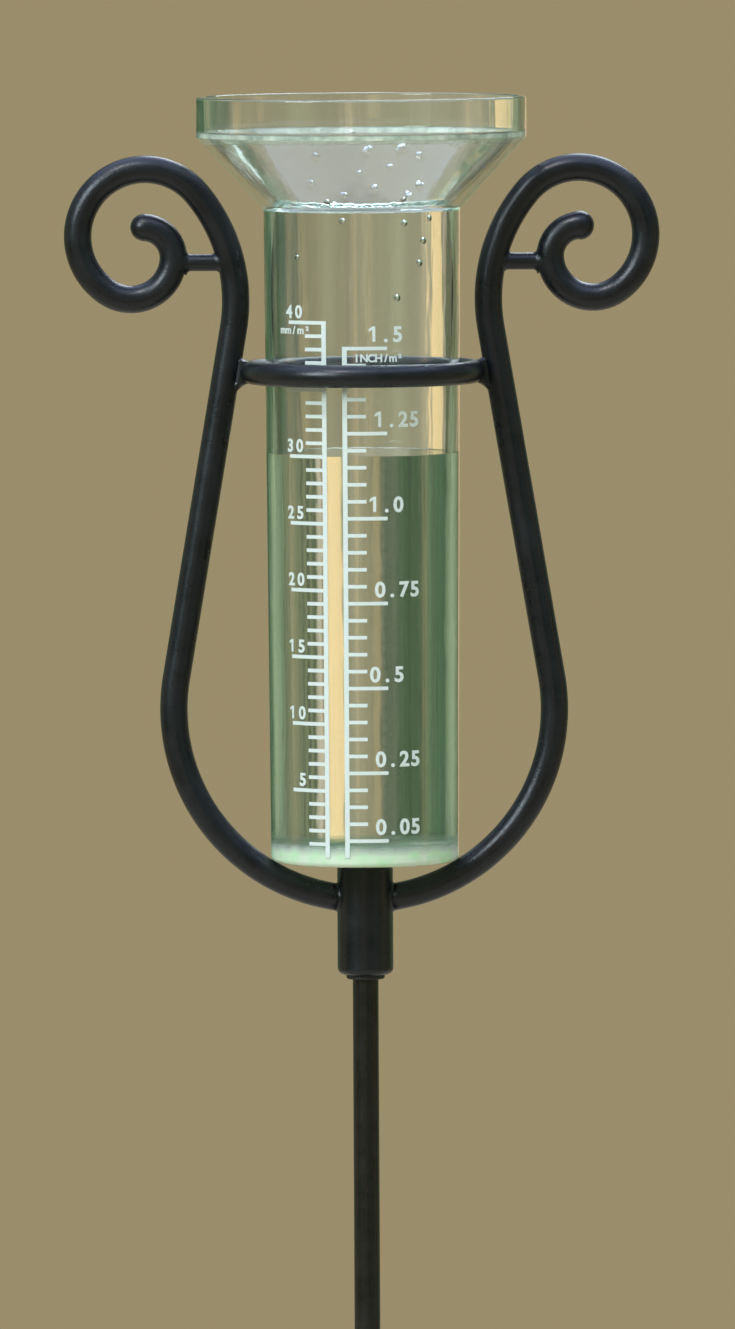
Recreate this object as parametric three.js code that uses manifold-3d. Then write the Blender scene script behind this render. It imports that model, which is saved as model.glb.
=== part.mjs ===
// A manual rain gauge: a clear graduated tube with a funnel, in a scrolled metal holder on a stake.
// Millimetres, +Z up. The origin is on the stake's axis at soil level, and the scales face -Y.
import * as THREE from "three";
import { mergeVertices } from "three/addons/utils/BufferGeometryUtils.js";
import Module from "manifold-3d";

const wasm = await Module();
wasm.setup();

// Gauge: heights above the tube's base.
const TUBE_BASE_ABOVE_SOIL = 210;
const GAUGE_HEIGHT = 183.3;
const RIM_RADIUS = 39.5;
const RIM_BAND_HEIGHT = 9.6;
const NECK_HEIGHT = 156.5;
const NECK_RADIUS = 23.5;
const BASE_RADIUS = 22.5;
const WALL = 2;
const CONE_WALL = 2.4;
const FLOOR_THICKNESS = 2.4;

// Scales: a millimetre of rain stands higher in the tube, by the mouth's area over the bore's.
const RISE_PER_RAIN_MM = 3.19;
const MM_PER_INCH = 25.4;
const RAIN_LEVEL = 30;
const LONG_EVERY = 5;
const MM_SCALE = { ticks: 40, rainPerTick: 1, bearing: -23, side: -1 };
const INCH_SCALE = { ticks: 30, rainPerTick: MM_PER_INCH / 20, bearing: -10.5, side: 1, longFirst: true };
const LONG_TICK = 9.8;
const SHORT_TICK = 4.9;
const TICK_WIDTH = 0.85;
const SPINE_WIDTH = 1.1;
const INK_THICKNESS = 0.15;
const INK_CLEARANCE = 0.1;

// Holder: a round bar bent into a lyre, a ring round the tube, ties and a socket.
const BAR_RADIUS = 3.3;
const BAR_TIP_RADIUS = 3.5;
const ARM_START = { x: 8.5, height: -8.5, heading: 10.8 };
const ARM_STRETCHES = [
  { radius: 45.7, turn: 88.8 },
  { length: 85.1 },
  { radius: 40.2, turn: -49.2 },
  { radius: 16.1, turn: -195.3 },
  { radius: 10.2, turn: -119.9 },
  { radius: 7.3, turn: -93.2 },
];
const RING_RADIUS = 26.75;
const RING_BAR_RADIUS = 2.7;
const RING_HEIGHT = 117.4;
const TIE_RADIUS = 2.05;
const TIE_HEIGHT = 143.7;
const TIE_FROM = 30.9;
const TIE_TO = 45.1;
const SLEEVE_RADIUS = 6.7;
const SLEEVE_BORE_RADIUS = 4.9;
const SLEEVE_TOP = -2.2;
const SLEEVE_BOTTOM = -27.4;
const SEAT_RIM_RADIUS = 5.7;
const SPIGOT_LENGTH = 4;
const BUSH_BORE_RADIUS = 3.18;
const BUSH_FLANGE = 0.8;

// Stake: a plain rod with a point, pushed into the soil.
const ROD_RADIUS = 3.1;
const STAKE_DEPTH = 110;
const POINT_LENGTH = 16;
const POINT_RADIUS = 0.6;

// Welds: a bead starts inside the bar that it is laid on and narrows towards the bar that it holds.
const TIE_WELD_START = 1.2;
const TIE_WELD_RADIUS = 3;
const TIE_WELD_LENGTH = 1.6;
const SOCKET_WELD_START = 4.5;
const SOCKET_WELD_RADIUS = 4.7;
const RING_WELD_RADIUS = 2.1;
const RING_WELD_DROP = 3.5;
const RING_WELD_OUT = 1.7;

// Clearance between pieces that touch, and the fineness of round shapes.
const GAP = 0.3;
const ROUND_SIDES = 48;
const BAR_SIDES = 12;
const FILLET_STEPS = 3;
const BAR_STEP = 3.2;
const PRINT_STEP = THREE.MathUtils.degToRad(8);

const LOOKS = {
  clearPlastic: { color: 0xcfe6cf, roughness: 0.08, metalness: 0, transparent: true, opacity: 0.35 },
  water: { color: 0xbcd8c8, roughness: 0.02, metalness: 0, transparent: true, opacity: 0.5 },
  whiteInk: { color: 0xdceee4, roughness: 0.6, metalness: 0 },
  blackCoating: { color: 0x1c2126, roughness: 0.42, metalness: 0.1 },
  blackPlastic: { color: 0x202020, roughness: 0.6, metalness: 0 },
};

const radians = THREE.MathUtils.degToRad;

// Radius of the tube's outside at a height: it widens evenly from the base to the neck.
function tubeRadius(height) {
  return THREE.MathUtils.lerp(BASE_RADIUS, NECK_RADIUS, height / NECK_HEIGHT);
}

// Height in the tube of so many millimetres of rain.
function rainHeight(rain) {
  return FLOOR_THICKNESS + RISE_PER_RAIN_MM * rain;
}

function toSolid(geometry) {
  const bare = geometry.clone();
  bare.deleteAttribute("normal");
  bare.deleteAttribute("uv");
  const merged = mergeVertices(bare, 1e-4);
  const mesh = new wasm.Mesh({
    numProp: 3,
    vertProperties: merged.attributes.position.array,
    triVerts: new Uint32Array(merged.index.array),
  });
  return new wasm.Manifold(mesh);
}

function toGeometry(solid) {
  const { vertProperties, triVerts } = solid.getMesh();
  const geometry = new THREE.BufferGeometry();
  geometry.setAttribute("position", new THREE.BufferAttribute(vertProperties, 3));
  geometry.setIndex(new THREE.BufferAttribute(triVerts, 1));
  geometry.computeVertexNormals();
  return geometry;
}

function cut(geometry, ...cutters) {
  const solid = toSolid(geometry);
  return toGeometry(cutters.reduce((rest, cutter) => rest.subtract(toSolid(cutter)), solid));
}

function join(...geometries) {
  return toGeometry(geometries.map(toSolid).reduce((joined, next) => joined.add(next)));
}

// Points of an outline whose corners, given as [radius, height, fillet], are rounded off.
function roundedOutline(corners) {
  const points = corners.map(([x, y]) => new THREE.Vector2(x, y));
  return corners.flatMap(([, , fillet = 0], i) => {
    const corner = points[i];
    if (!fillet) return [corner];
    const back = points.at(i - 1).clone().sub(corner).normalize();
    const ahead = points[(i + 1) % points.length].clone().sub(corner).normalize();
    const halfAngle = Math.acos(back.dot(ahead)) / 2;
    const inwards = back.clone().add(ahead).normalize();
    const centre = corner.clone().addScaledVector(inwards, fillet / Math.sin(halfAngle));
    const reach = fillet / Math.tan(halfAngle);
    const start = corner.clone().addScaledVector(back, reach).sub(centre);
    const end = corner.clone().addScaledVector(ahead, reach).sub(centre);
    const sweep = Math.atan2(start.cross(end), start.dot(end));
    const turned = (step) => start.clone().rotateAround(new THREE.Vector2(), (sweep * step) / FILLET_STEPS);
    return Array.from({ length: FILLET_STEPS + 1 }, (_, step) => turned(step).add(centre));
  });
}

// A solid of revolution about Z. An outline that starts off the axis closes on itself.
function turned(corners, sides = ROUND_SIDES) {
  const outline = roundedOutline(corners);
  if (outline[0].x > 0) outline.push(outline[0].clone());
  return new THREE.LatheGeometry(outline, sides).rotateX(Math.PI / 2);
}

// The bent bar's centreline in the XZ plane: each stretch goes on from where the last one ended.
class BentBar extends THREE.Curve {
  constructor(side) {
    super();
    this.side = side;
    const pen = { x: ARM_START.x, z: ARM_START.height, heading: radians(ARM_START.heading) };
    this.stretches = ARM_STRETCHES.map(({ length, radius, turn = 0 }) => {
      const sweep = radians(turn);
      const stretch = { ...pen, sweep, length: length ?? radius * Math.abs(sweep) };
      Object.assign(pen, BentBar.along(stretch, stretch.length));
      return stretch;
    });
    this.length = this.stretches.reduce((sum, stretch) => sum + stretch.length, 0);
  }

  static along({ x, z, heading, sweep, length }, distance) {
    const turn = (sweep * distance) / length;
    const chord = turn ? (distance * Math.sin(turn / 2)) / (turn / 2) : distance;
    const direction = heading + turn / 2;
    return {
      x: x + chord * Math.cos(direction),
      z: z + chord * Math.sin(direction),
      heading: heading + turn,
    };
  }

  getPoint(fraction, target = new THREE.Vector3()) {
    let distance = fraction * this.length;
    const last = this.stretches.at(-1);
    const here = this.stretches.find((stretch) => {
      if (stretch === last || distance <= stretch.length) return true;
      distance -= stretch.length;
      return false;
    });
    const { x, z } = BentBar.along(here, distance);
    return target.set(this.side * x, 0, z);
  }
}

function roundSection(radius) {
  return new THREE.Shape().absarc(0, 0, radius, 0, 2 * Math.PI);
}

function bentBar(side, radius) {
  const path = new BentBar(side);
  const steps = Math.round(path.length / BAR_STEP);
  const sides = BAR_SIDES / 2;
  return new THREE.ExtrudeGeometry(roundSection(radius), { steps, curveSegments: sides, extrudePath: path });
}

// A straight round bar between two points, tapering if its radii differ.
function barBetween(start, end, startRadius, endRadius = startRadius) {
  const span = end.clone().sub(start);
  const turn = new THREE.Quaternion().setFromUnitVectors(new THREE.Vector3(0, 1, 0), span.clone().normalize());
  const middle = start.clone().lerp(end, 0.5);
  return new THREE.CylinderGeometry(endRadius, startRadius, span.length(), 2 * BAR_SIDES)
    .applyQuaternion(turn)
    .translate(middle.x, middle.y, middle.z);
}

// A thin patch on the tube's outside: bearings in radians from -Y towards +X, heights above the base.
function printedPatch(fromBearing, toBearing, bottom, top) {
  const width = toBearing - fromBearing;
  const steps = Math.ceil(width / PRINT_STEP);
  const patch = new THREE.BoxGeometry(width, INK_THICKNESS, top - bottom, steps, 1, 1);
  patch.translate((fromBearing + toBearing) / 2, 0, (bottom + top) / 2);
  const places = patch.attributes.position;
  for (let i = 0; i < places.count; i++) {
    const height = places.getZ(i);
    const radius = tubeRadius(height) + INK_CLEARANCE + INK_THICKNESS / 2 - places.getY(i);
    const bearing = places.getX(i);
    places.setXYZ(i, radius * Math.sin(bearing), -radius * Math.cos(bearing), height);
  }
  return patch;
}

// One scale: an upright spine with ticks to one side, a long tick at each fifth.
function printedScale({ ticks, rainPerTick, bearing, side, longFirst = false }) {
  const across = (length) => length / BASE_RADIUS;
  const spine = radians(bearing);
  const halfSpine = across(SPINE_WIDTH) / 2;
  const highest = rainHeight(ticks * rainPerTick) + TICK_WIDTH / 2;
  const pieces = [printedPatch(spine - halfSpine, spine + halfSpine, FLOOR_THICKNESS, highest)];
  for (let count = 1; count <= ticks; count++) {
    const isLong = count % LONG_EVERY === 0 || (longFirst && count === 1);
    const end = spine + side * across(isLong ? LONG_TICK : SHORT_TICK);
    const height = rainHeight(count * rainPerTick);
    const [from, to] = [spine, end].sort((a, b) => a - b);
    pieces.push(printedPatch(from, to, height - TICK_WIDTH / 2, height + TICK_WIDTH / 2));
  }
  return join(...pieces);
}

function gaugeTube() {
  const coneSlope = Math.atan2(RIM_RADIUS - NECK_RADIUS, GAUGE_HEIGHT - RIM_BAND_HEIGHT - NECK_HEIGHT);
  const rise = CONE_WALL / Math.sin(coneSlope);
  const bandFoot = GAUGE_HEIGHT - RIM_BAND_HEIGHT;
  const innerRim = RIM_RADIUS - WALL;
  const coneHeight = (radius) => bandFoot - (RIM_RADIUS - radius) / Math.tan(coneSlope) + rise;
  const innerNeck = NECK_RADIUS - WALL;
  return turned([
    [0, 0],
    [BASE_RADIUS, 0, 1.2],
    [NECK_RADIUS, NECK_HEIGHT, 1.2],
    [RIM_RADIUS, bandFoot, 0.6],
    [RIM_RADIUS, GAUGE_HEIGHT, 0.4],
    [innerRim, GAUGE_HEIGHT, 0.4],
    [innerRim, coneHeight(innerRim), 0.6],
    [innerNeck, coneHeight(innerNeck), 1.2],
    [BASE_RADIUS - WALL, FLOOR_THICKNESS, 1.2],
    [0, FLOOR_THICKNESS],
  ]);
}

function rainWater() {
  const bore = (height) => tubeRadius(height) - WALL - GAP;
  const level = rainHeight(RAIN_LEVEL);
  return turned([
    [0, FLOOR_THICKNESS + GAP],
    [bore(0), FLOOR_THICKNESS + GAP, 1.1],
    [bore(level), level],
    [0, level],
  ]);
}

function tubeSeat() {
  return turned([
    [0, SLEEVE_TOP - SPIGOT_LENGTH],
    [SLEEVE_BORE_RADIUS - GAP, SLEEVE_TOP - SPIGOT_LENGTH],
    [SLEEVE_BORE_RADIUS - GAP, SLEEVE_TOP + GAP],
    [SLEEVE_RADIUS, SLEEVE_TOP + GAP],
    [SEAT_RIM_RADIUS, -GAP, 0.5],
    [0, -GAP],
  ], ROUND_SIDES / 2);
}

function socketSleeve() {
  return turned([
    [SLEEVE_BORE_RADIUS, SLEEVE_BOTTOM],
    [SLEEVE_RADIUS, SLEEVE_BOTTOM, 1.6],
    [SLEEVE_RADIUS, SLEEVE_TOP, 0.3],
    [SLEEVE_BORE_RADIUS, SLEEVE_TOP],
  ], ROUND_SIDES / 2);
}

function rodBush() {
  const top = SLEEVE_TOP - SPIGOT_LENGTH - GAP;
  const foot = SLEEVE_BOTTOM - GAP;
  return turned([
    [BUSH_BORE_RADIUS, foot - BUSH_FLANGE],
    [SLEEVE_BORE_RADIUS - GAP, foot - BUSH_FLANGE, 0.4],
    [SLEEVE_BORE_RADIUS - GAP, top],
    [BUSH_BORE_RADIUS, top],
  ], ROUND_SIDES / 2);
}

function stakeRod() {
  const top = TUBE_BASE_ABOVE_SOIL + SLEEVE_TOP - SPIGOT_LENGTH - GAP;
  return turned([
    [0, -STAKE_DEPTH],
    [POINT_RADIUS, -STAKE_DEPTH],
    [ROD_RADIUS, POINT_LENGTH - STAKE_DEPTH, 3],
    [ROD_RADIUS, top, 0.6],
    [0, top],
  ], ROUND_SIDES / 2);
}

function sleeveClearance() {
  const length = SLEEVE_TOP - SLEEVE_BOTTOM;
  return new THREE.CylinderGeometry(SLEEVE_RADIUS + GAP, SLEEVE_RADIUS + GAP, length, ROUND_SIDES)
    .rotateX(Math.PI / 2)
    .translate(0, 0, (SLEEVE_TOP + SLEEVE_BOTTOM) / 2);
}

function scrollArm(side) {
  const end = new BentBar(side).getPoint(1);
  const tip = new THREE.SphereGeometry(BAR_TIP_RADIUS, BAR_SIDES, BAR_SIDES / 2);
  tip.translate(end.x, end.y, end.z);
  return join(bentBar(side, BAR_RADIUS), tip);
}

const armClearances = [-1, 1].map((side) => bentBar(side, BAR_RADIUS + GAP));

function ring(barRadius) {
  return new THREE.TorusGeometry(RING_RADIUS, barRadius, BAR_SIDES, ROUND_SIDES)
    .translate(0, 0, RING_HEIGHT);
}

function onTie(side, distance) {
  return new THREE.Vector3(side * distance, 0, TIE_HEIGHT);
}

// A tie between the upright and the scroll, with room for a weld at each end.
function tieBar(side) {
  const room = BAR_RADIUS + TIE_WELD_LENGTH + GAP;
  return barBetween(onTie(side, TIE_FROM + room), onTie(side, TIE_TO - room), TIE_RADIUS);
}

// The flared bead between a tie's end and the bar that it is welded to.
function tieWeld(side, barAt, towards) {
  const root = onTie(side, barAt + towards * TIE_WELD_START);
  const edge = onTie(side, barAt + towards * (BAR_RADIUS + TIE_WELD_LENGTH));
  return cut(barBetween(root, edge, TIE_WELD_RADIUS, TIE_RADIUS), ...armClearances);
}

// The bead between the socket's side and the foot of an arm.
function socketWeld(side) {
  const heading = radians(ARM_START.heading);
  const inwards = new THREE.Vector3(-side * Math.cos(heading), 0, -Math.sin(heading));
  const foot = new THREE.Vector3(side * ARM_START.x, 0, ARM_START.height);
  const root = foot.clone().addScaledVector(inwards, SOCKET_WELD_START);
  const edge = foot.clone().addScaledVector(inwards, GAP);
  return cut(barBetween(root, edge, SOCKET_WELD_RADIUS, BAR_RADIUS), sleeveClearance());
}

// The wedge of weld metal under the ring where it meets an upright.
function ringWeld(side) {
  const bead = new THREE.SphereGeometry(RING_WELD_RADIUS, BAR_SIDES, BAR_SIDES / 2);
  bead.translate(side * (RING_RADIUS + RING_WELD_OUT), 0, RING_HEIGHT - RING_WELD_DROP);
  return cut(bead, ring(RING_BAR_RADIUS + GAP), ...armClearances);
}

function part(name, geometry, look) {
  const mesh = new THREE.Mesh(geometry, new THREE.MeshStandardMaterial(look));
  mesh.name = name;
  return mesh;
}

const gauge = new THREE.Group();
gauge.position.z = TUBE_BASE_ABOVE_SOIL;
gauge.add(
  part("gauge_tube", gaugeTube(), LOOKS.clearPlastic),
  part("rain_water", rainWater(), LOOKS.water),
  part("mm_scale", printedScale(MM_SCALE), LOOKS.whiteInk),
  part("inch_scale", printedScale(INCH_SCALE), LOOKS.whiteInk),
);

const holder = new THREE.Group();
holder.position.z = TUBE_BASE_ABOVE_SOIL;
holder.add(
  part("tube_seat", tubeSeat(), LOOKS.blackCoating),
  part("socket_sleeve", socketSleeve(), LOOKS.blackCoating),
  part("rod_bush", rodBush(), LOOKS.blackPlastic),
  part("retaining_ring", cut(ring(RING_BAR_RADIUS), ...armClearances), LOOKS.blackCoating),
);
for (const [word, side] of [["left", -1], ["right", 1]]) {
  holder.add(
    part(`${word}_scroll_arm`, scrollArm(side), LOOKS.blackCoating),
    part(`${word}_tie_bar`, tieBar(side), LOOKS.blackCoating),
    part(`${word}_tie_inner_weld`, tieWeld(side, TIE_FROM, 1), LOOKS.blackCoating),
    part(`${word}_tie_outer_weld`, tieWeld(side, TIE_TO, -1), LOOKS.blackCoating),
    part(`${word}_ring_weld`, ringWeld(side), LOOKS.blackCoating),
    part(`${word}_socket_weld`, socketWeld(side), LOOKS.blackCoating),
  );
}

const stake = new THREE.Group();
stake.add(part("stake_rod", stakeRod(), LOOKS.blackCoating));

const rainGauge = new THREE.Group();
rainGauge.add(gauge, holder, stake);
export default rainGauge;
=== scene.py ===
"""A manual rain gauge: a clear graduated tube in a scrolled black holder on a stake.

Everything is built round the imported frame, in metres, +Z up, with the gauge's axis on Z and its
scales facing -Y. mm() turns millimetres into metres. A table in millimetres and degrees says so.
"""

import math

import bmesh
import bpy
from mathutils import Matrix, Vector


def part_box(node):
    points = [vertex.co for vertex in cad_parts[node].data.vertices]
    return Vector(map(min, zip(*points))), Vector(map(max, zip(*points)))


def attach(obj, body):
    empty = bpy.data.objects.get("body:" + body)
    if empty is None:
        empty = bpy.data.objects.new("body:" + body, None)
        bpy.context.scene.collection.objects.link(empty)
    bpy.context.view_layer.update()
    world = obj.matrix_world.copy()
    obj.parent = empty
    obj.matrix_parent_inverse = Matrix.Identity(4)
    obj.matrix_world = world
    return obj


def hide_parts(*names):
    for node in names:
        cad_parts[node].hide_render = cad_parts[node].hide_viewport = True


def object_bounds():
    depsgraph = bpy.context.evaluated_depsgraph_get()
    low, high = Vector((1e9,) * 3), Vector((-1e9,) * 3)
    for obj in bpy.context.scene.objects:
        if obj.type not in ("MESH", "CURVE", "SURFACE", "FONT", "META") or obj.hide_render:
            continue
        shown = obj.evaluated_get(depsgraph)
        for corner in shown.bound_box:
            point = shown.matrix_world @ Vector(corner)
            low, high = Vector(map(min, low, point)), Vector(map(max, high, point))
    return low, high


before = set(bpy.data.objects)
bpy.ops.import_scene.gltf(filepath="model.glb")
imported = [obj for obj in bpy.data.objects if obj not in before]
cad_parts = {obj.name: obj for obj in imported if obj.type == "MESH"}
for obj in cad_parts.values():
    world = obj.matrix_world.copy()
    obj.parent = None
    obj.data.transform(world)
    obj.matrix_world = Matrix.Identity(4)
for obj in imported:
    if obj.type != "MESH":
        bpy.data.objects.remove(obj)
cad_low, cad_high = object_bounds()


def mm(length):
    return length / 1000


# ---------------------------------------------------------------- sizes from the frame

TUBE_LOW, TUBE_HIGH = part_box("gauge_tube")
WATER_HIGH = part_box("rain_water")[1]
RING_LOW, RING_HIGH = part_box("retaining_ring")
SLEEVE_LOW, SLEEVE_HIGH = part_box("socket_sleeve")
SEAT_LOW, SEAT_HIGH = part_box("tube_seat")
BUSH_LOW, BUSH_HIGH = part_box("rod_bush")
ROD_LOW, ROD_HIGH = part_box("stake_rod")
TIE_LOW, TIE_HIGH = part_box("right_tie_bar")

BASE_Z = TUBE_LOW.z
GAUGE_HEIGHT = TUBE_HIGH.z - BASE_Z
RIM_RADIUS = TUBE_HIGH.x
RING_BAR_RADIUS = (RING_HIGH.z - RING_LOW.z) / 2
RING_Z = (RING_HIGH.z + RING_LOW.z) / 2
TIE_RADIUS = (TIE_HIGH.z - TIE_LOW.z) / 2
TIE_Z = (TIE_HIGH.z + TIE_LOW.z) / 2
SLEEVE_RADIUS = SLEEVE_HIGH.x
ROD_RADIUS = ROD_HIGH.x

# Shapes that the boxes don't give, as the frame was designed. Heights are above the tube's base.
RIM_BAND_HEIGHT = mm(9.6)
BAND_FOOT = GAUGE_HEIGHT - RIM_BAND_HEIGHT
NECK_HEIGHT = mm(156.5)
NECK_RADIUS = mm(23.5)
BASE_RADIUS = mm(22.5)
WALL = mm(2)
CONE_WALL = mm(2.4)
CONE_ANGLE = math.atan2(RIM_RADIUS - NECK_RADIUS, BAND_FOOT - NECK_HEIGHT)  # from the vertical
FLOOR_THICKNESS = mm(2.4)
RISE_PER_RAIN = 3.19  # the mouth's area over the bore's
BAR_RADIUS = mm(3.3)
RING_RADIUS = mm(26.75)
TIE_ENDS = (mm(30.9), mm(45.1))

# The right arm's centreline in millimetres and degrees: its start below the tube's base, and its
# straight and round stretches from there to the scroll's tip.
ARM_START = {"x": 8.5, "height": -8.5, "heading": 10.8}
ARM_STRETCHES = [
    {"radius": 45.7, "turn": 88.8},
    {"length": 85.1},
    {"radius": 40.2, "turn": -49.2},
    {"radius": 16.1, "turn": -195.3},
    {"radius": 10.2, "turn": -119.9},
    {"radius": 7.3, "turn": -93.2},
]


def tube_radius(height):
    """The tube's outside radius at a height above its base."""
    return BASE_RADIUS + (NECK_RADIUS - BASE_RADIUS) * height / NECK_HEIGHT


def cone_height(radius):
    """The height of the funnel's inner wall above the tube's base, at a radius."""
    outer = BAND_FOOT - (RIM_RADIUS - radius) / math.tan(CONE_ANGLE)
    return outer + CONE_WALL / math.sin(CONE_ANGLE)


def rain_height(rain):
    """Millimetres above the tube's base of so many millimetres of rain."""
    return 1000 * FLOOR_THICKNESS + RISE_PER_RAIN * rain


# ---------------------------------------------------------------- mesh tools

ON_AXIS = 1e-9
BAR_SIDES = 28
ROD_SIDES = 48
SOCKET_SIDES = 72
TUBE_SIDES = 160


def piece(name, vertices, faces, material, body, node_names, slot, smooth=True):
    """A mesh object that rides on a body and may stand for CAD nodes."""
    mesh = bpy.data.meshes.new(name)
    mesh.from_pydata([tuple(v) for v in vertices], [], faces)
    mesh.validate()
    mesh.materials.append(material)
    for polygon in mesh.polygons:
        polygon.use_smooth = smooth
    made = bpy.data.objects.new(name, mesh)
    bpy.context.scene.collection.objects.link(made)
    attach(made, body)
    if node_names:
        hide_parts(*node_names)


def turns(count):
    """Angles spaced evenly round a full turn."""
    return [2 * math.pi * i / count for i in range(count)]


def neighbours(items, closed=True):
    """Each item with the next one and, when closed, the last one with the first."""
    pairs = list(zip(items, items[1:]))
    return pairs + [(items[-1], items[0])] if closed else pairs


def outwards(bearing):
    """The unit vector away from the axis at a bearing, in degrees from -Y towards +X."""
    angle = math.radians(bearing)
    return Vector((math.sin(angle), -math.cos(angle), 0))


def rounded_outline(corners, steps=6):
    """Points (radius, height) of an outline whose corners (radius, height, bend) are rounded."""
    points = [Vector(corner[:2]) for corner in corners]
    outline = []
    for i, corner in enumerate(corners):
        here = points[i]
        if len(corner) == 2:
            outline.append(here.copy())
            continue
        bend = corner[2]
        back = (points[i - 1] - here).normalized()
        ahead = (points[(i + 1) % len(points)] - here).normalized()
        half_angle = math.acos(back.dot(ahead)) / 2
        centre = here + (back + ahead).normalized() * bend / math.sin(half_angle)
        reach = bend / math.tan(half_angle)
        start = here + back * reach - centre
        end = here + ahead * reach - centre
        sweep = math.atan2(start.x * end.y - start.y * end.x, start.dot(end))
        for step in range(steps + 1):
            angle = sweep * step / steps
            cosine, sine = math.cos(angle), math.sin(angle)
            turned = (start.x * cosine - start.y * sine, start.x * sine + start.y * cosine)
            outline.append(centre + Vector(turned))
    return outline


def is_ring(outline):
    """Whether an outline goes all round a section off the axis, instead of ending on the axis."""
    return abs(outline[0].x) > ON_AXIS


def supported(outline):
    """The outline with a point near each end of every long straight run, which shades it flat."""
    margin, longest_without = mm(0.15), mm(0.9)
    held = [outline[0]]
    for start, end in neighbours(outline, is_ring(outline)):
        run = end - start
        if run.length > longest_without:
            step = run.normalized() * margin
            held += [start + step, end - step]
        held.append(end)
    return held[:-1] if is_ring(outline) else held


def lathe(outline, sides):
    """Vertices and faces of an outline turned about Z. Points on the axis become one vertex."""
    vertices, rings = [], []
    outline = supported(outline)
    for radius, height in outline:
        count = sides if abs(radius) > ON_AXIS else 1
        rings.append(list(range(len(vertices), len(vertices) + count)))
        for t in turns(count):
            vertices.append(Vector((radius * math.cos(t), radius * math.sin(t), height)))
    faces = []
    for low, high in neighbours(rings, is_ring(outline)):
        for side, after in neighbours(range(sides)):
            below = [low[side % len(low)], low[after % len(low)]]
            above = [high[after % len(high)], high[side % len(high)]]
            faces.append(list(dict.fromkeys(below + above)))
    return vertices, faces


def loft(rings, closed=False, capped=True):
    """Vertices and faces that join rings of points, each ring with as many points as the others."""
    sides = len(rings[0])
    vertices = [point for ring in rings for point in ring]
    faces = []
    for low, high in neighbours(range(0, len(vertices), sides), closed):
        for side, after in neighbours(range(sides)):
            faces.append([low + side, low + after, high + after, high + side])
    if capped and not closed:
        faces.append(list(range(sides))[::-1])
        faces.append(list(range(len(vertices) - sides, len(vertices))))
    return vertices, faces


def round_bar(centres, radii, across, closed=False):
    """A round bar along a flat curve. across is the unit vector square to the curve's plane."""
    rings = []
    count = len(centres)
    for i, (centre, radius) in enumerate(zip(centres, radii)):
        before = centres[i - 1] if closed or i else centre
        after = centres[(i + 1) % count] if closed or i < count - 1 else centre
        along = (after - before).normalized()
        other = along.cross(across)
        section = [across * math.cos(t) + other * math.sin(t) for t in turns(BAR_SIDES)]
        rings.append([centre + point * radius for point in section])
    return loft(rings, closed)


def joined(shapes):
    """One list of vertices and one of faces that hold several shapes."""
    vertices, faces = [], []
    for points, corners in shapes:
        start = len(vertices)
        vertices += points
        faces += [[start + corner for corner in face] for face in corners]
    return vertices, faces


# ---------------------------------------------------------------- material tools


class Graph:
    """A node tree, with short ways to add and join nodes."""

    def __init__(self, node_tree):
        self.nodes = node_tree.nodes
        self.links = node_tree.links

    def feed(self, socket, value):
        """Link another node's output to a socket, or set the socket to a plain value."""
        if isinstance(value, bpy.types.NodeSocket):
            self.links.new(value, socket)
        else:
            socket.default_value = value

    def add(self, kind, inputs=None, **settings):
        """A new node, its kind named without ShaderNode, with settings and fed inputs."""
        node = self.nodes.new("ShaderNode" + kind)
        for key, value in settings.items():
            setattr(node, key, value)
        for key, value in (inputs or {}).items():
            self.feed(node.inputs[key], value)
        return node

    def compute(self, operation, *values):
        return self.add("Math", dict(enumerate(values)), operation=operation).outputs[0]

    def spread(self, value, low, high, from_low=0.3, from_high=0.7):
        """A value carried from its range, by default that of noise, to low and high."""
        source = {"Value": value, "From Min": from_low, "From Max": from_high}
        return self.add("MapRange", {**source, "To Min": low, "To Max": high}).outputs[0]

    def mix(self, share, first, second):
        """A colour between two others. The inputs are a Mix node's factor and its two colours."""
        return self.add("Mix", {0: share, 6: first, 7: second}, data_type="RGBA").outputs[2]


class Tree(Graph):
    """A material round one Principled shader."""

    def __init__(self, name):
        self.material = bpy.data.materials.new(name)
        self.material.use_nodes = True
        super().__init__(self.material.node_tree)
        self.shader = self.nodes["Principled BSDF"]
        self.output = self.nodes["Material Output"]

    def set(self, **sockets):
        """Feed the shader's sockets, named with _ for a space."""
        for key, value in sockets.items():
            self.feed(self.shader.inputs[key.replace("_", " ")], value)

    def place(self, stretch=(1, 1, 1)):
        """Object coordinates in millimetres, stretched along the axes."""
        where = self.add("TexCoord").outputs["Object"]
        scale = [1000 * share for share in stretch]
        return self.add("Mapping", {"Vector": where, "Scale": scale}).outputs[0]

    def noise(self, scale, detail=3.0, roughness=0.5, stretch=(1, 1, 1)):
        """Noise with scale features to a millimetre."""
        inputs = {"Scale": scale, "Detail": detail, "Roughness": roughness}
        return self.add("TexNoise", {"Vector": self.place(stretch), **inputs}).outputs[0]

    def bump(self, height, distance, strength=1.0, under=None):
        """A normal from a height, distance metres deep, over another normal if there is one."""
        inputs = {"Height": height, "Distance": distance, "Strength": strength}
        if under:
            inputs["Normal"] = under
        return self.add("Bump", inputs).outputs[0]


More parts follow.
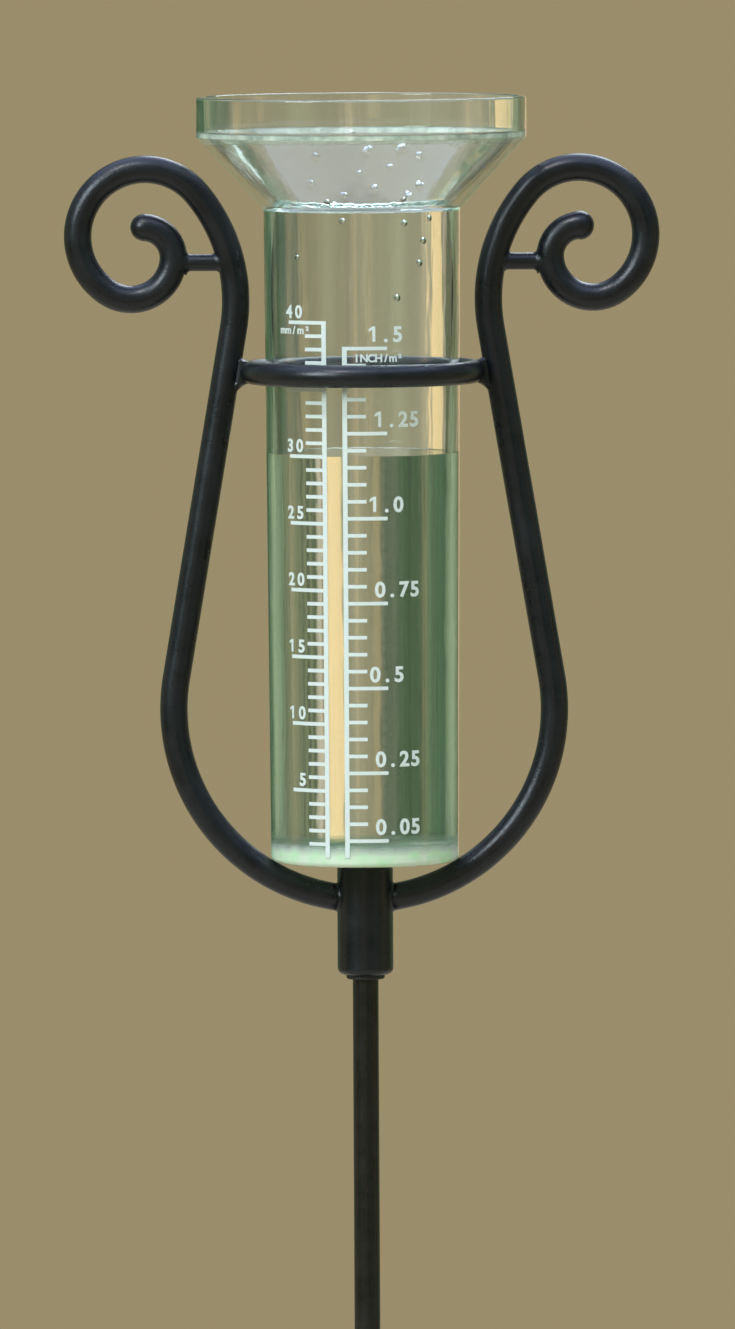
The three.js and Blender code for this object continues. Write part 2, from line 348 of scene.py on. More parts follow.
def clear_plastic():
    """Clear moulded plastic: frosted at its base, partly painted light there, and a painted
    highlight along the rim band's foot.
    """
    tree = Tree("clear_plastic")
    clear, frost_and_highlight_transmission = 0.985, 0.25
    height = tree.add("SeparateXYZ", {"Vector": tree.place()}).outputs[2]
    wisps = tree.noise(0.22, detail=4)
    ragged = tree.compute("MULTIPLY_ADD", wisps, 2.0, height)
    base, foot = 1000 * BASE_Z, 1000 * (BASE_Z + BAND_FOOT) + 0.5
    # Frosted base: its pale milky colour and whiter wisps also stand in for light that the water
    # gathers down onto the base, so it is partly painted light.
    near_base = tree.spread(ragged, 1, 0, base + 3.6, base + 6.4)
    from_foot = tree.compute("ABSOLUTE", tree.compute("SUBTRACT", height, foot))
    # Painted highlight: a pale milky band along the foot of the rim band stands in for the sky's
    # reflection in the inner shoulder.
    painted_foot_highlight = tree.spread(from_foot, tree.spread(wisps, 0.25, 0.8), 0, 0.4, 0.95)
    frost_and_painted_highlight = tree.compute("MAXIMUM", near_base, painted_foot_highlight)
    cloud = tree.noise(0.08, detail=4)
    tint = tree.mix(tree.spread(cloud, 0, 1), (0.97, 0.985, 0.97, 1), (0.945, 0.97, 0.95, 1))
    milky_and_painted_light = tree.mix(tree.spread(wisps, 0, 1), (0.6, 0.96, 0.56, 1), (0.92, 1.0, 0.82, 1))
    haze = tree.spread(tree.noise(0.35, detail=5), 0.0, 0.045)
    rough = tree.compute("MULTIPLY_ADD", frost_and_painted_highlight, 0.16, haze)
    ripple = tree.bump(tree.noise(0.3, detail=2, stretch=(1, 1, 0.12)), mm(0.035))
    tree.set(IOR=1.56, Base_Color=tree.mix(frost_and_painted_highlight, tint, milky_and_painted_light), Roughness=rough, Normal=ripple)
    # The plain value stays under the link.
    tree.set(Transmission_Weight=clear)
    tree.set(Transmission_Weight=tree.spread(frost_and_painted_highlight, clear, frost_and_highlight_transmission, 0, 1))
    volume = tree.add("VolumeAbsorption", {"Color": (0.5, 0.8, 0.55, 1), "Density": 30.0})
    tree.feed(tree.output.inputs["Volume"], volume.outputs[0])
    return tree.material


def rain():
    """Water with a faint swirl."""
    tree = Tree("rain_water")
    swirl = tree.noise(0.12, detail=2)
    tint = tree.mix(tree.spread(swirl, 0, 1), (0.99, 1.0, 0.99, 1), (0.975, 0.99, 0.98, 1))
    ripple = tree.bump(tree.noise(0.2, detail=1), mm(0.04))
    tree.set(Transmission_Weight=1.0, IOR=1.333, Roughness=0.0, Base_Color=tint, Normal=ripple)
    return tree.material


def white_ink():
    """Screen-printed ink that covers unevenly."""
    tree = Tree("white_ink")
    cover = tree.spread(tree.noise(1.6, detail=5, roughness=0.6), 0, 1, 0.35, 0.75)
    grain = tree.noise(6.0, detail=3)
    colour = tree.mix(cover, (0.7, 0.77, 0.71, 1), (0.61, 0.7, 0.64, 1))
    tree.set(IOR=1.5, Specular_IOR_Level=0.35)
    tree.set(Base_Color=colour, Roughness=tree.spread(grain, 0.45, 0.7))
    tree.set(Normal=tree.bump(grain, mm(0.04)))
    return tree.material


def black_coating(name, base, worn, mottle):
    """Satin black powder coat: fine orange peel, faint cloudiness, dust on what faces up."""
    tree = Tree(name)
    cloud = tree.noise(0.16, detail=5, roughness=0.6)
    peel = tree.noise(1.7, detail=3)
    speck = tree.noise(4.5, detail=2)
    body = tree.mix(tree.spread(cloud, 0, mottle, 0.35, 0.7), base, worn)
    normal = tree.add("NewGeometry").outputs["Normal"]
    upwards = tree.add("SeparateXYZ", {"Vector": normal}).outputs[2]
    facing_up = tree.spread(upwards, 0, 1, 0.2, 1.0)
    dusty = tree.compute("MULTIPLY", facing_up, tree.spread(speck, 0, 0.5))
    colour = tree.mix(dusty, body, (0.022, 0.027, 0.033, 1))
    orange_peel = tree.bump(peel, mm(0.09), 0.6)
    tree.set(IOR=1.5, Specular_IOR_Level=0.42)
    tree.set(Base_Color=colour, Roughness=tree.spread(cloud, 0.24, 0.38))
    tree.set(Normal=tree.bump(speck, mm(0.03), 0.5, under=orange_peel))
    return tree.material


def black_plastic():
    """Dull moulded nylon of an even grain."""
    tree = Tree("black_plastic")
    grain = tree.noise(3.0, detail=4)
    dark, pale = (0.012, 0.012, 0.012, 1), (0.022, 0.022, 0.021, 1)
    tree.set(IOR=1.52, Specular_IOR_Level=0.4)
    tree.set(Base_Color=tree.mix(tree.spread(grain, 0, 1), dark, pale))
    tree.set(Roughness=tree.spread(grain, 0.5, 0.68), Normal=tree.bump(grain, mm(0.06)))
    return tree.material


CLEAR = clear_plastic()
WATER = rain()
INK = white_ink()
COAT = black_coating("black_coating", (0.0045, 0.0058, 0.0078, 1), (0.009, 0.011, 0.013, 1), 1.0)
ROD_COAT = black_coating("rod_coating", (0.0035, 0.0035, 0.003, 1), (0.013, 0.011, 0.009, 1), 0.8)
NYLON = black_plastic()


# ---------------------------------------------------------------- the gauge


def lifted(outline):
    """An outline with its heights counted from the tube's base, in the scene's heights."""
    return [Vector((radius, height + BASE_Z)) for radius, height in outline]


def make_tube():
    inner_rim = RIM_RADIUS - WALL
    inner_neck = NECK_RADIUS - WALL
    soft, sharp = mm(1.2), mm(0.5)
    corners = [
        (0, 0),
        (BASE_RADIUS, 0, soft),
        (NECK_RADIUS, NECK_HEIGHT, soft),
        (RIM_RADIUS, BAND_FOOT, sharp),
        (RIM_RADIUS, GAUGE_HEIGHT, sharp),
        (inner_rim, GAUGE_HEIGHT, sharp),
        (inner_rim, cone_height(inner_rim), sharp),
        (inner_neck, cone_height(inner_neck), soft),
        (BASE_RADIUS - WALL, FLOOR_THICKNESS, soft),
        (0, FLOOR_THICKNESS),
    ]
    shape = lathe(lifted(rounded_outline(corners, 8)), TUBE_SIDES)
    piece("clear_gauge_tube", *shape, CLEAR, "gauge", ["gauge_tube"], "clear_plastic")


def make_water():
    """The water reaches a hair into the plastic, so that light bends once between the two."""
    soak = mm(0.12)
    level = WATER_HIGH.z - BASE_Z
    bore = tube_radius(level) - WALL
    climb, reach, curl, steps = mm(0.14), mm(1.2), 2.6, 7
    corners = [
        (0, FLOOR_THICKNESS - soak),
        (BASE_RADIUS - WALL + soak, FLOOR_THICKNESS - soak, mm(1.2)),
        (bore + soak, level + climb),
    ]
    outline = rounded_outline(corners)
    for step in range(steps + 1):
        inwards = step / steps
        rise = climb * (1 - inwards) ** curl
        outline.append(Vector((bore - reach * inwards, level + rise)))
    outline.append(Vector((0, level)))
    shape = lathe(lifted(outline), TUBE_SIDES)
    piece("collected_rain", *shape, WATER, "gauge", ["rain_water"], "water")


def bead(centre, normal, radius):
    """A flattened drop, sunk a little into the surface that it lies on."""
    flatness, sunk = 0.62, mm(0.15)
    sides, steps = 18, 7
    turn = normal.to_track_quat("Z", "Y").to_matrix()
    rings = []
    for step in range(1, steps + 1):
        slope = math.pi / 2 * step / steps
        wide, high = radius * math.sin(slope), flatness * radius * math.cos(slope)
        ring = [Vector((wide * math.cos(t), wide * math.sin(t), high)) for t in turns(sides)]
        rings.append([centre + turn @ point for point in ring])
    rings.append([point - normal * sunk for point in rings[-1]])
    vertices, faces = loft(rings, capped=False)
    last, top, foot = len(vertices) - sides, len(vertices), len(vertices) + 1
    vertices += [centre + normal * flatness * radius, centre - normal * sunk]
    for side, after in neighbours(range(sides)):
        faces += [[after, side, top], [last + side, last + after, foot]]
    return vertices, faces


def make_drops():
    """Beads of rain left on the funnel's inner wall and in the tube above the water."""
    funnel_drops = [
        # bearing in degrees, share of the way up the cone, radius in millimetres
        (-160, 0.66, 0.75),
        (-176, 0.92, 0.85),
        (177, 0.72, 0.95),
        (163, 0.74, 1.45),
        (153, 0.64, 1.1),
        (138, 0.8, 1.1),
        (-179, 0.42, 0.8),
        (166, 0.5, 0.75),
        (-152, 0.28, 0.8),
        (-170, 0.12, 0.8),
        (172, 0.2, 0.75),
        (146, 0.24, 0.95),
        (150, 0.1, 0.8),
        (128, 0.9, 0.7),
        (-20, 0.1, 0.8),
        (24, 0.13, 0.7),
    ]
    tube_drops = [
        # bearing in degrees, height above the tube's base and radius in millimetres
        (-12, 154.2, 0.75),
        (27, 153.6, 0.8),
        (41, 149.3, 0.85),
        (38, 144.0, 0.8),
        (22, 135.8, 0.85),
        (-44, 145.5, 0.6),
        (46, 154.6, 0.7),
    ]
    beads = []
    inner_rim, inner_neck = RIM_RADIUS - WALL, NECK_RADIUS - WALL
    for bearing, share, radius in funnel_drops:
        away = outwards(bearing)
        distance = inner_neck + (inner_rim - inner_neck) * share
        centre = away * distance + Vector((0, 0, BASE_Z + cone_height(distance)))
        normal = -away * math.cos(CONE_ANGLE) + Vector((0, 0, math.sin(CONE_ANGLE)))
        beads.append(bead(centre, normal.normalized(), mm(radius)))
    for bearing, height, radius in tube_drops:
        away = outwards(bearing)
        distance = tube_radius(mm(height)) - WALL
        centre = away * distance + Vector((0, 0, BASE_Z + mm(height)))
        beads.append(bead(centre, -away, mm(radius)))
    piece("rain_drops", *joined(beads), WATER, "gauge", (), "water")


# The figure one, with its flag, as wide and high shares of a figure's height.
FIGURE_ONE = [
    (-0.08, 0), (0.11, 0), (0.11, 1), (-0.05, 1), (-0.31, 0.83), (-0.31, 0.65), (-0.08, 0.79),
]
INK_THICKNESS = mm(0.12)
FONT_SIZE = 1.38  # of the built-in font, for figures one unit high
BOLDNESS = 0.04  # how far its outlines are moved outwards


def letter_mesh(letter, size):
    """A bmesh of one flat letter so many millimetres high, as thick as the ink about z = 0."""
    made = bmesh.new()
    if letter == "1":
        outline = [(mm(size) * x, mm(size) * y, INK_THICKNESS / 2) for x, y in FIGURE_ONE]
        face = made.faces.new([made.verts.new(corner) for corner in outline])
        added = bmesh.ops.extrude_face_region(made, geom=[face])["geom"]
        moved = [v for v in added if isinstance(v, bmesh.types.BMVert)]
        bmesh.ops.translate(made, verts=moved, vec=(0, 0, -INK_THICKNESS))
    else:
        curve = bpy.data.curves.new("letter", "FONT")
        curve.body = letter
        curve.align_x = "CENTER"
        curve.size = mm(size) * FONT_SIZE
        curve.offset = mm(size) * BOLDNESS
        curve.extrude = INK_THICKNESS / 2
        curve.resolution_u = 6
        shown = bpy.data.objects.new("letter", curve)
        bpy.context.scene.collection.objects.link(shown)
        flat = bpy.data.meshes.new_from_object(shown)
        bpy.data.objects.remove(shown)
        made.from_mesh(flat)
        bpy.data.meshes.remove(flat)
        bpy.data.curves.remove(curve)
    bmesh.ops.remove_doubles(made, verts=made.verts, dist=mm(0.001))
    bmesh.ops.recalc_face_normals(made, faces=made.faces)
    return made


def printed_text(name, labels):
    """Flat lettering wrapped round the tube. A label is its words, bearing in degrees, height above
    the tube's base, letter height and letter pitch in millimetres, and alignment."""
    stand_off = mm(0.03)
    shapes = []
    for words, bearing, height, size, pitch, align in labels:
        start = -pitch * len(words) if align == "RIGHT" else 0
        for index, letter in enumerate(words):
            flat = letter_mesh(letter, size)
            shift = mm(start + pitch * (index + 0.5))
            points = []
            for vertex in flat.verts:
                up = mm(height) + vertex.co.y
                radius = tube_radius(up) + stand_off + INK_THICKNESS / 2 + vertex.co.z
                angle = math.radians(bearing) + (vertex.co.x + shift) / tube_radius(up)
                across, ahead = radius * math.sin(angle), -radius * math.cos(angle)
                points.append(Vector((across, ahead, BASE_Z + up)))
            flat.verts.index_update()
            shapes.append((points, [[corner.index for corner in f.verts] for f in flat.faces]))
            flat.free()
    piece(name, *joined(shapes), INK, "gauge", (), "white_ink", smooth=False)


def make_numerals():
    """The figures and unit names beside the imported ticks, and the ink on those ticks."""
    inch = 25.4
    # Each label as printed_text takes it. Figures stand a little over their tick.
    mm_labels = []
    for marked in (5, 10, 15, 20, 25, 30, 40):
        height = rain_height(marked) + 1.1
        mm_labels.append((str(marked), -36.5, height, 3.05, 3.05, "RIGHT"))
    mm_labels.append(("mm/m²", -31.5, rain_height(39.15), 1.9, 2.0, "RIGHT"))
    inch_labels = []
    for words in ("0.05", "0.25", "0.5", "0.75", "1.0", "1.25", "1.5"):
        bearing = 6.2 if len(words) == 4 else 3.0
        height = rain_height(float(words) * inch) + 1.6
        inch_labels.append((words, bearing, height, 3.65, 2.95, "LEFT"))
    inch_labels.append(("INCH/m²", -5.5, rain_height(1.5 * inch) - 3.2, 1.9, 1.75, "LEFT"))
    printed_text("mm_numerals", mm_labels)
    printed_text("inch_numerals", inch_labels)
    for node in ("mm_scale", "inch_scale"):
        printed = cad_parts[node]
        printed.data.materials.clear()
        printed.data.materials.append(INK)


# ---------------------------------------------------------------- the holder


def bent_bar_points(side, spacing):
    """Points about spacing millimetres apart along one arm's centreline, in metres."""
    x, z = ARM_START["x"], ARM_START["height"]
    heading = math.radians(ARM_START["heading"])
    points = [(x, z)]
    for stretch in ARM_STRETCHES:
        turn = math.radians(stretch.get("turn", 0))
        length = stretch.get("length") or stretch["radius"] * abs(turn)
        steps = max(1, round(length / spacing))
        step_turn = turn / steps
        half = step_turn / 2
        chord = length / steps * (math.sin(half) / half if half else 1)
        for _ in range(steps):
            x += chord * math.cos(heading + half)
            z += chord * math.sin(heading + half)
            heading += step_turn
            points.append((x, z))
    return [Vector((side * mm(px), 0, BASE_Z + mm(pz))) for px, pz in points]


def make_arm(word, side, tip_radius):
    """A scrolled bar that starts inside the sleeve and ends in a blunt round tip."""
    centres = bent_bar_points(side, spacing=1.1)
    into_sleeve = mm(3.2)
    centres.insert(0, centres[0] - (centres[1] - centres[0]).normalized() * into_sleeve)
    radii = [BAR_RADIUS] * len(centres)
    end, ahead = centres[-1], (centres[-1] - centres[-2]).normalized()
    for i, centre in enumerate(centres):
        inside = tip_radius**2 - (end - centre).length ** 2
        if i > len(centres) / 2 and inside > 0:
            radii[i] = max(BAR_RADIUS, math.sqrt(inside))
    cap_steps, smallest = 9, mm(0.05)
    for step in range(1, cap_steps + 1):
        slope = math.pi / 2 * step / cap_steps
        centres.append(end + ahead * tip_radius * math.sin(slope))
        radii.append(max(tip_radius * math.cos(slope), smallest))
    shape = round_bar(centres, radii, Vector((0, 1, 0)) * side)
    nodes = [word + "_scroll_arm"]
    piece(word + "_scroll_bar", *shape, COAT, "holder", nodes, "black_coating")


def make_ring():
    count = 200
    reach = RING_RADIUS
    centres = [Vector((reach * math.cos(t), reach * math.sin(t), RING_Z)) for t in turns(count)]
    shape = round_bar(centres, [RING_BAR_RADIUS] * count, Vector((0, 0, 1)), closed=True)
    piece("tube_ring", *shape, COAT, "holder", ["retaining_ring"], "black_coating")


def make_tie(word, side):
    start, end = TIE_ENDS
    steps = 12
    reaches = [start + (end - start) * i / steps for i in range(steps + 1)]
    centres = [Vector((side * reach, 0, TIE_Z)) for reach in reaches]
    shape = round_bar(centres, [TIE_RADIUS] * len(centres), Vector((0, 1, 0)) * side)
    piece(word + "_tie", *shape, COAT, "holder", [word + "_tie_bar"], "black_coating")


def fillet(name, start, along, radius, host, host_along, host_radius, size, nodes):
    """The smooth weld round a bar where it meets a thicker round host bar.

    The bar runs from start along a unit vector. The host is a bar through a point. The weld's
    section is a quarter circle as wide as size, closed inside the two bars."""
    across = along.cross(host_along).normalized()
    other = along.cross(across).normalized()
    sides, steps = 40, 8
    sunk, under_bar, under_host, under_edge = mm(0.12), mm(0.35), mm(0.8), mm(0.35)

    def leaves_host(offset):
        """How far along the bar a line at an offset from its axis leaves the host's surface."""
        line = start + offset - host
        line -= host_along * line.dot(host_along)
        step = along - host_along * along.dot(host_along)
        a = step.dot(step)
        b = 2 * line.dot(step)
        c = line.dot(line) - host_radius**2
        root = max(b * b - 4 * a * c, 0)
        return (-b + math.sqrt(root)) / (2 * a)

    rings = []
    for angle in turns(sides):
        away = across * math.cos(angle) + other * math.sin(angle)
        section = []
        for step in range(steps + 1):
            slope = math.pi / 2 * step / steps
            rho = radius + size * (1 - math.sin(slope))
            lift = leaves_host(away * rho) + size * (1 - math.cos(slope)) - sunk
            section.append(start + away * rho + along * lift)
        inner, edge = radius - under_bar, radius + size
        lift = leaves_host(away * inner)
        section.append(start + away * inner + along * (lift + size))
        section.append(start + away * inner + along * (lift - under_host))
        section.append(start + away * edge + along * (leaves_host(away * edge) - under_edge))
        rings.append(section)
    piece(name, *loft(rings, closed=True), COAT, "holder", nodes, "black_coating")


def upright_at(side, height):
    """The arm's centre and direction beside a height, on its straight part or at its neck."""
    points = bent_bar_points(side, spacing=0.5)
    lower = [p for p in points[: len(points) * 3 // 4] if p.z > BASE_Z]
    neck_x, neck_share = mm(31), 0.2

    def distance(k):
        """How far a point is from the height and, for less, from the neck, so the scroll loses."""
        return abs(lower[k].z - height) + abs(abs(lower[k].x) - neck_x) * neck_share

    i = min(range(1, len(lower) - 1), key=distance)
    return lower[i], (lower[i + 1] - lower[i - 1]).normalized()


def make_ring_web(word, side):
    """Weld metal that fills the corners between the ring and an upright, above and below.

    Each level is an ellipse from inside the upright towards the ring, and the levels follow a
    quarter circle in each corner."""
    levels, sides = 40, 30
    thick = RING_BAR_RADIUS - mm(0.2)
    below, above = mm(3.6), mm(1.8)
    under_surface, into_ring, into_upright = mm(0.4), mm(0.9), mm(2.2)
    thin_end, thickening = mm(1.4), mm(1.1)
    rings = []
    for level in range(levels + 1):
        z = RING_Z - thick - below + (below + 2 * thick + above) * level / levels
        centre, _ = upright_at(side, z)
        surface = abs(centre.x) - BAR_RADIUS
        span = below if z < RING_Z else above
        nearness = 1 - min(max(abs(z - RING_Z) - thick, 0) / span, 1)
        hollow = 1 - math.sqrt(1 - nearness**2)
        buried = surface + under_surface
        inner = buried - (buried - RING_RADIUS + into_ring) * hollow
        outer = surface + into_upright
        half_depth = thin_end + thickening * nearness
        ring = []
        for t in turns(sides):
            x = (inner + outer) / 2 - (outer - inner) / 2 * math.cos(t)
            ring.append(Vector((side * x, half_depth * math.sin(t) * -side, z)))
        rings.append(ring)
    nodes = [word + "_ring_weld"]
    piece(word + "_ring_web", *loft(rings[::-1]), COAT, "holder", nodes, "black_coating")


def make_welds(word, side):
    """The beads at both ends of a tie, at the arm's foot and between the ring and the upright."""
    x_axis, z_axis = Vector((side, 0, 0)), Vector((0, 0, 1))
    start, end = [Vector((side * reach, 0, TIE_Z)) for reach in TIE_ENDS]
    upright, direction = upright_at(side, TIE_Z)
    tie_size, foot_size = mm(1.0), mm(0.7)
    points = bent_bar_points(side, spacing=1)
    along = (points[1] - points[0]).normalized()
    foot = points[0] - along * points[0].x / along.x
    joints = [
        # piece, where the bar starts, its direction and radius, the host's, the size, the node
        ("inner_fillet", start, x_axis, TIE_RADIUS,
         upright, direction, BAR_RADIUS, tie_size, "tie_inner_weld"),
        ("outer_fillet", end, -x_axis, TIE_RADIUS,
         end, z_axis, BAR_RADIUS, tie_size, "tie_outer_weld"),
        ("foot_fillet", foot, along, BAR_RADIUS,
         foot, z_axis, SLEEVE_RADIUS, foot_size, "socket_weld"),
    ]
    for name, *joint, node in joints:
        fillet(word + "_" + name, *joint, [word + "_" + node])
    make_ring_web(word, side)


def make_socket():
    """The sleeve under the tube, its bevelled top and the liner round the rod."""
    bore = mm(4.9)
    sleeve_top = SEAT_HIGH.z - mm(1.3)
    corners = [
        (bore, SLEEVE_LOW.z, mm(0.5)),
        (SLEEVE_RADIUS, SLEEVE_LOW.z, mm(1.6)),
        (SLEEVE_RADIUS, sleeve_top, mm(0.5)),
        (bore, sleeve_top),
    ]
    shape = lathe(rounded_outline(corners), SOCKET_SIDES)
    piece("socket", *shape, COAT, "holder", ["socket_sleeve"], "black_coating")
    plug, shoulder, bevel = bore - mm(0.2), SLEEVE_RADIUS - mm(0.25), mm(0.7)
    seat_foot, bevel_foot = SEAT_HIGH.z - mm(1.6), SEAT_HIGH.z - mm(1.2)
    corners = [
        (0, SEAT_LOW.z),
        (plug, SEAT_LOW.z),
        (plug, seat_foot),
        (shoulder, seat_foot),
        (shoulder, bevel_foot, mm(0.15)),
        (shoulder - bevel, SEAT_HIGH.z, mm(0.35)),
        (0, SEAT_HIGH.z),
    ]
    shape = lathe(rounded_outline(corners, 4), SOCKET_SIDES)
    piece("seat_cap", *shape, COAT, "holder", ["tube_seat"], "black_coating")
    clearance = mm(0.06)
    corners = [
        (ROD_RADIUS + clearance, BUSH_LOW.z, mm(0.15)),
        (BUSH_HIGH.x, BUSH_LOW.z, mm(0.4)),
        (BUSH_HIGH.x, BUSH_HIGH.z),
        (ROD_RADIUS + clearance, BUSH_HIGH.z),
    ]
    shape = lathe(rounded_outline(corners, 4), SOCKET_SIDES)
    piece("socket_bush", *shape, NYLON, "bush", ["rod_bush"], "black_plastic")


def make_stake():
    point_length, tip_radius = mm(16), mm(0.6)
    corners = [
        (0, ROD_LOW.z),
        (tip_radius, ROD_LOW.z, mm(0.2)),
        (ROD_RADIUS, ROD_LOW.z + point_length, mm(3)),
        (ROD_RADIUS, ROD_HIGH.z, mm(0.6)),
        (0, ROD_HIGH.z),
    ]
    shape = lathe(rounded_outline(corners), ROD_SIDES)
    piece("ground_stake", *shape, ROD_COAT, "stake", ["stake_rod"], "rod_coating")


# ---------------------------------------------------------------- room, light and camera

BACKDROP = (0.325, 0.267, 0.15, 1)


def make_floor():
    """A plain pale floor under the stake's point, which fades out into the backdrop's colour."""
    tree = Tree("floor")
    grain = tree.spread(tree.noise(0.004, detail=4), 0, 1)
    tone = tree.mix(grain, (0.43, 0.38, 0.27, 1), (0.46, 0.405, 0.285, 1))
    tree.set(Roughness=0.9, Specular_IOR_Level=0.2, Base_Color=tone)
    where = tree.add("TexCoord").outputs["Object"]
    distance = tree.add("VectorMath", {0: where}, operation="LENGTH").outputs["Value"]
    bounds = {"Value": distance, "From Min": 0.35, "From Max": 1.1}
    fade = tree.add("MapRange", bounds, interpolation_type="SMOOTHSTEP").outputs[0]
    clear = tree.add("BsdfTransparent").outputs[0]
    blend = tree.add("MixShader", {0: fade, 1: tree.shader.outputs[0], 2: clear})
    tree.feed(tree.output.inputs["Surface"], blend.outputs[0])
    reach, sides = 2.4, 96
    z = cad_low.z - mm(0.5)
    rim = [(reach * math.cos(t), reach * math.sin(t), z) for t in turns(sides)]
    mesh = bpy.data.meshes.new("floor")
    mesh.from_pydata(rim, [], [list(range(sides))])
    mesh.materials.append(tree.material)
    ground = bpy.data.objects.new("floor", mesh)
    bpy.context.scene.collection.objects.link(ground)


def set_stops(ramp, stops):
    """Give a colour ramp these positions and colours."""
    elements = ramp.color_ramp.elements
    elements[0].position, elements[0].color = stops[0]
    elements[1].position, elements[1].color = stops[-1]
    for position, colour in stops[1:-1]:
        elements.new(position).color = colour


def hedge_colour(graph, across, along):
    """A hedge with gaps and a sunlit trunk, the same in each quarter of the horizon."""
    quarter = math.radians(90)
    azimuth = graph.compute("ARCTAN2", across, along)
    shifted = graph.compute("ADD", azimuth, quarter / 2)
    wrapped = graph.compute("FLOORED_MODULO", shifted, quarter)
    share = graph.compute("DIVIDE", wrapped, quarter)

    # The fourth number is how strongly the fine upright streaks of leaves and grass show.
    window = BACKDROP[:3] + (0.25,)
    window_edge = (0.41, 0.37, 0.25, 0.25)
    pale_leaf = (0.36, 0.44, 0.28, 0.6)
    sage = ((0.25, 0.32, 0.19, 0.7), (0.24, 0.31, 0.19, 0.8))
    leaf = (0.062, 0.125, 0.062, 1)
    bright_leaf = (0.075, 0.14, 0.062, 1)
    dark_leaf = (0.036, 0.08, 0.032, 1)
    twig = (0.12, 0.14, 0.088, 0.8)
    trunk = (1.27, 0.9, 0.48, 0.12)
    bark = ((0.40, 0.30, 0.19, 0.3), (0.42, 0.32, 0.21, 0.3))
    blossom = ((0.74, 0.60, 0.47, 0.3), (0.70, 0.58, 0.45, 0.3))
    olive = ((0.175, 0.175, 0.095, 1), (0.17, 0.18, 0.095, 1))
    stops = [
        # degrees from a quarter's middle, colour
        (-45, pale_leaf),
        (-38, sage[0]),
        (-34, leaf),
        (-24, leaf),
        (-22, bright_leaf),
        (-20.5, dark_leaf),
        (-11, dark_leaf),
        (-9, twig),
        (-6, twig),
        (-4.2, window),
        (5.4, window_edge),
        (6.2, trunk),
        (11.0, trunk),
        (11.6, bark[0]),
        (12.6, bark[1]),
        (13.2, blossom[0]),
        (14.2, blossom[1]),
        (15.0, olive[0]),
        (31, olive[1]),
        (37, sage[1]),
        (45, pale_leaf),
    ]
    ramp = graph.add("ValToRGB", {"Fac": share})
    set_stops(ramp, [((degrees + 45) / 90, colour) for degrees, colour in stops])
    streaky = {"W": azimuth, "Scale": 46.0, "Detail": 4.0, "Roughness": 0.6}
    streaks = graph.add("TexNoise", streaky, noise_dimensions="1D").outputs[0]
    swing = graph.spread(streaks, -0.42, 0.42, 0.32, 0.68)
    shade = graph.compute("MULTIPLY_ADD", swing, ramp.outputs[1], 1.0)
    shaded = {0: ramp.outputs[0], "Scale": shade}
    return graph.add("VectorMath", shaded, operation="SCALE").outputs[0]


def sky_colour(graph, direction, height):
    """Soft foliage low down, a dull sky above it, and a bright ragged patch overhead."""
    dull = (0.30, 0.34, 0.38, 1)
    upwards = graph.add("ValToRGB", {"Fac": height})
    stops = [(0.0, (0.24, 0.33, 0.22, 1)), (0.35, (0.22, 0.25, 0.24, 1)), (0.65, dull), (1.0, dull)]
    set_stops(upwards, stops)
    flutter = {"Vector": direction, "Scale": 7.0, "Detail": 5.0}
    ragged = graph.compute("MULTIPLY_ADD", graph.add("TexNoise", flutter).outputs[0], 0.14, height)
    overhead = graph.spread(ragged, 0, 1, 0.77, 0.79)
    return graph.mix(overhead, upwards.outputs[0], (1.2, 1.4, 2.1, 1))


def make_world():
    """What the camera sees is one plain colour. What glass and gloss see is a soft garden: sky
    overhead, a hedge all round at the height of the horizon, and shrubs and soil below it."""
    world = bpy.data.worlds.new("world")
    bpy.context.scene.world = world
    world.use_nodes = True
    graph = Graph(world.node_tree)
    direction = graph.add("TexCoord").outputs["Generated"]
    across, along, height = graph.add("SeparateXYZ", {"Vector": direction}).outputs
    above = graph.spread(height, 0, 1, 0.06, 0.2)
    shrubs = graph.spread(height, 0, 1, -0.08, -0.11)
    soil = graph.spread(height, 0, 1, -0.125, -0.165)
    hedge = hedge_colour(graph, across, along)
    garden = graph.mix(above, hedge, sky_colour(graph, direction, height))
    garden = graph.mix(shrubs, garden, (0.24, 0.33, 0.19, 1))
    garden = graph.mix(soil, garden, BACKDROP)
    seen = graph.add("LightPath").outputs["Is Camera Ray"]
    graph.feed(graph.nodes["Background"].inputs["Color"], graph.mix(seen, garden, BACKDROP))


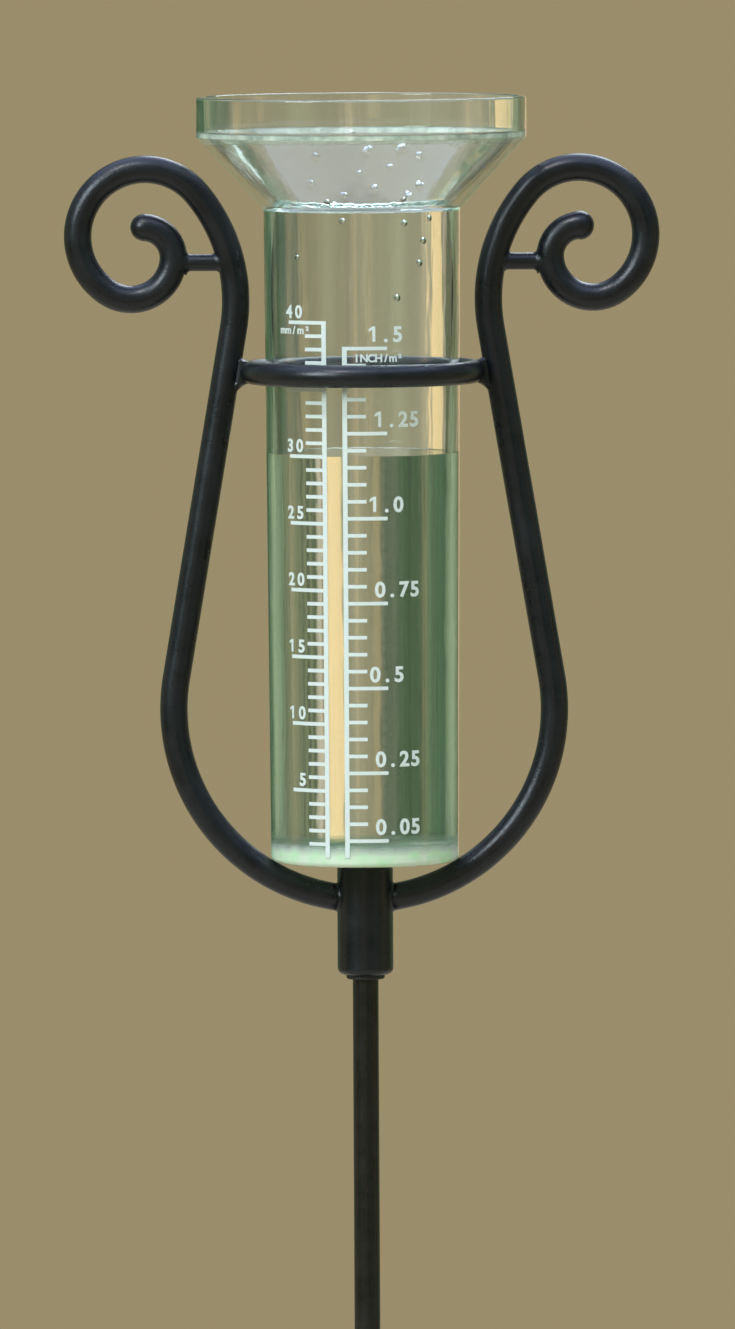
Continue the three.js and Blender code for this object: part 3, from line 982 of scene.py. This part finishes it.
def make_lights():
    aim = Vector((0, 0, (cad_low.z + cad_high.z) / 2))
    lamps = [
        # name, place, side length, watts, colour, whether gloss and glass show it
        ("key_softbox", (-1.7, -1.75, 1.5), 1.0, 52, (0.78, 0.9, 1.0), True),
        ("fill_softbox", (1.6, -1.9, 1.2), 1.2, 16, (0.95, 1.0, 0.96), False),
        ("back_softbox", (0.5, 2.1, 1.9), 1.2, 26, (0.8, 0.9, 1.0), True),
        ("sun_lamp", (-1.0, -1.7, 3.2), 0.16, 30, (1.0, 0.98, 0.94), True),
    ]
    for name, place, size, watts, colour, shows in lamps:
        lamp = bpy.data.lights.new(name, "AREA")
        lamp.size = size
        lamp.energy = watts
        lamp.color = colour
        lit = bpy.data.objects.new(name, lamp)
        lit.location = place
        lit.rotation_euler = (aim - lit.location).to_track_quat("-Z", "Y").to_euler()
        lit.visible_glossy = shows
        lit.visible_transmission = shows
        bpy.context.scene.collection.objects.link(lit)


def make_camera():
    """From far off and a little above the gauge, with the photograph's slight roll."""
    distance, pitch, roll = 3.1, math.radians(3.9), math.radians(0.3)
    seen_height = 0.3187  # across the image's longer side, at the target
    target = Vector((mm(0.84), 0, BASE_Z + mm(47.1)))
    camera = bpy.data.cameras.new("camera")
    camera.sensor_width = 36
    camera.lens = camera.sensor_width * distance / seen_height
    shown = bpy.data.objects.new("camera", camera)
    back = Vector((0, -math.cos(pitch), math.sin(pitch)))
    turn = (-back).to_track_quat("-Z", "Y").to_matrix() @ Matrix.Rotation(-roll, 3, "Z")
    shown.matrix_world = Matrix.Translation(target + back * distance) @ turn.to_4x4()
    bpy.context.scene.collection.objects.link(shown)
    bpy.context.scene.camera = shown


scene = bpy.context.scene
scene.view_settings.view_transform = "Standard"
# Light crosses the tube, the water and the drops many times before it leaves.
scene.cycles.glossy_bounces = 24
scene.cycles.transmission_bounces = 28
scene.cycles.max_bounces = 36
make_camera()
make_world()
make_lights()
make_floor()
make_tube()
make_water()
make_drops()
make_numerals()
make_ring()
make_socket()
make_stake()
for word, side, tip_radius in (("left", -1, mm(3.25)), ("right", 1, mm(3.5))):
    make_arm(word, side, tip_radius)
    make_tie(word, side)
    make_welds(word, side)
